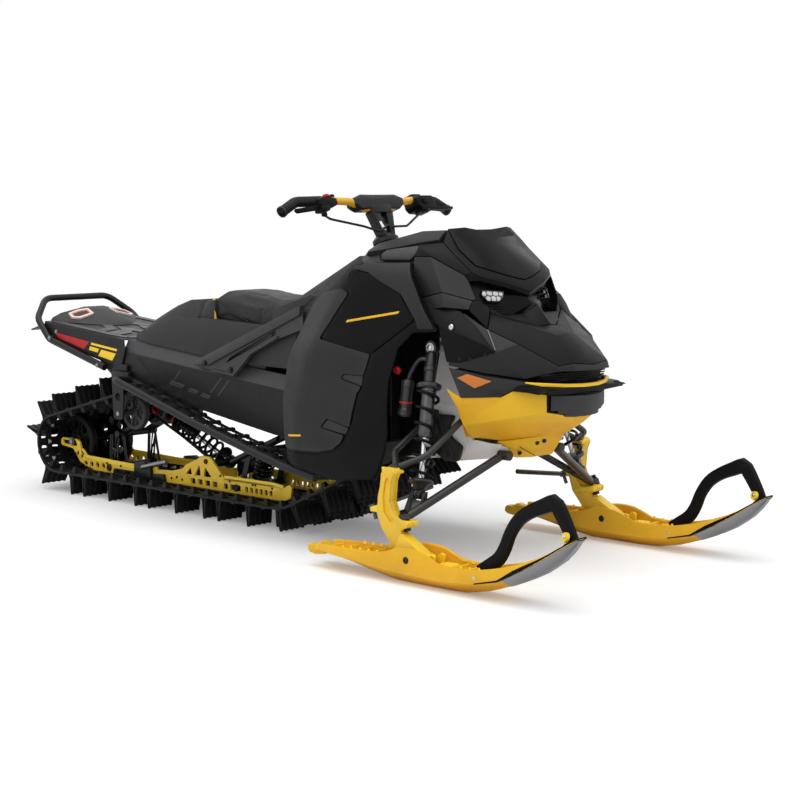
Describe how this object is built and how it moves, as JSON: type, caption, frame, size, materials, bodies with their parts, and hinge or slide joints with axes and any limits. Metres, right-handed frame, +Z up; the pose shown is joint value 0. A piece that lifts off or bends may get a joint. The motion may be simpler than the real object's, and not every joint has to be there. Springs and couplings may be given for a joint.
{
  "type": "mountain snowmobile",
  "caption": "Single-seat deep-snow snowmobile with a long lugged track under a narrow tunnel, two steered skis, a faceted hood and a handlebar on a tall post.",
  "frame": {"origin": "on the floor under the middle of the bounding box", "axes": "+X forward (towards the ski tips), +Y the vehicle's left, +Z up"},
  "size_m": [2.9311, 1.072, 1.1448],
  "materials": {
    "black_rubber": "moulded black track rubber",
    "black_plastic": "satin black moulded plastic",
    "charcoal_plastic": "matte charcoal moulded plastic",
    "yellow_plastic": "satin yellow moulded plastic",
    "yellow_paint": "yellow powder coat",
    "black_paint": "black powder coat",
    "dark_aluminium": "dark grey coated aluminium",
    "grey_aluminium": "bare cast aluminium",
    "steel": "plated steel",
    "seat_fabric": "black vinyl-coated fabric over foam",
    "tinted_screen": "smoked windshield plastic",
    "lamp_clear": "clear lamp lens",
    "lamp_red": "red lamp lens",
    "engine_grey": "plain block standing for the engine"
  },
  "bodies": {
    "chassis": {"tunnel": "dark_aluminium", "running_boards": "dark_aluminium", "rear_bumper": "black_paint", "tail_pod": "black_plastic", "tail_lights": "lamp_red", "snow_flap": "black_rubber", "seat_base": "charcoal_plastic", "seat_pad": "seat_fabric", "knee_panels": "charcoal_plastic", "support_braces": "dark_aluminium", "console": "black_plastic", "hood": "black_plastic", "windshield": "tinted_screen", "headlights": "lamp_clear", "belly_pan": "yellow_plastic", "front_bumper": "black_plastic", "grille": "black_plastic", "front_frame": "grey_aluminium", "engine": "engine_grey", "lower_arms": "black_paint", "upper_arms": "black_paint", "front_shocks": "black_paint", "front_springs": "black_paint", "track": "black_rubber", "slide_rails": "yellow_paint", "rear_idlers": "black_plastic", "upper_idlers": "charcoal_plastic", "drive_axle": "black_plastic", "rear_arm": "black_paint", "front_arm": "black_paint", "skid_shocks": "black_paint", "skid_springs": "black_paint"},
    "handlebar_group": {"steering_post": "black_paint", "handlebar": "yellow_paint", "bar_pad": "seat_fabric", "hand_controls": "black_plastic", "control_cables": "black_rubber"},
    "side_panel_right_body": {"side_panel_right": "black_plastic"},
    "side_panel_left_body": {"side_panel_left": "black_plastic"},
    "spindle_right_body": {"spindle_right": "yellow_paint"},
    "spindle_left_body": {"spindle_left": "yellow_paint"},
    "tie_rod_right_body": {"tie_rod_right": "steel"},
    "tie_rod_left_body": {"tie_rod_left": "steel"},
    "ski_right_body": {"ski_right": "yellow_plastic", "ski_loop_right": "black_plastic"},
    "ski_left_body": {"ski_left": "yellow_plastic", "ski_loop_left": "black_plastic"}
  },
  "joints": [
    {"name": "steering", "type": "hinge", "parent": "chassis", "child": "handlebar_group", "pos_m": [0.2679, 0, 0.985], "axis": [-0.342, 0, 0.9397], "range_deg": [-38, 38]},
    {"name": "spindle_left_turn", "type": "hinge", "parent": "chassis", "child": "spindle_left_body", "pos_m": [0.7574, 0.46, 0.2565], "axis": [-0.3623, -0.079, 0.9287], "range_deg": [-28.5, 28.5]},
    {"name": "spindle_right_turn", "type": "hinge", "parent": "chassis", "child": "spindle_right_body", "pos_m": [0.7574, -0.46, 0.2565], "axis": [-0.3623, 0.079, 0.9287], "range_deg": [-28.5, 28.5]},
    {"name": "tie_rod_left_end", "type": "hinge", "parent": "spindle_left_body", "child": "tie_rod_left_body", "pos_m": [0.65868, 0.46377, 0.19041], "axis": [-0.3623, -0.079, 0.9287], "range_deg": [-28.5, 28.5]},
    {"name": "tie_rod_right_end", "type": "hinge", "parent": "spindle_right_body", "child": "tie_rod_right_body", "pos_m": [0.65868, -0.46377, 0.19041], "axis": [-0.3623, 0.079, 0.9287], "range_deg": [-28.5, 28.5]},
    {"name": "ski_left_pitch", "type": "hinge", "parent": "spindle_left_body", "child": "ski_left_body", "pos_m": [0.8529, 0.475, 0.08], "axis": [0, 1, 0], "range_deg": [-20, 14]},
    {"name": "ski_right_pitch", "type": "hinge", "parent": "spindle_right_body", "child": "ski_right_body", "pos_m": [0.8529, -0.475, 0.08], "axis": [0, 1, 0], "range_deg": [-20, 14]},
    {"name": "side_panel_left_release", "type": "slide", "parent": "chassis", "child": "side_panel_left_body", "axis": [0, 1, 0], "range_m": [0, 0.15]},
    {"name": "side_panel_right_release", "type": "slide", "parent": "chassis", "child": "side_panel_right_body", "axis": [0, -1, 0], "range_m": [0, 0.15]}
  ],
  "couplings": [
    {"joint": "spindle_left_turn", "follows": "steering", "ratio": 0.75},
    {"joint": "spindle_right_turn", "follows": "steering", "ratio": 0.75},
    {"joint": "tie_rod_left_end", "follows": "steering", "ratio": -0.75},
    {"joint": "tie_rod_right_end", "follows": "steering", "ratio": -0.75}
  ]
}
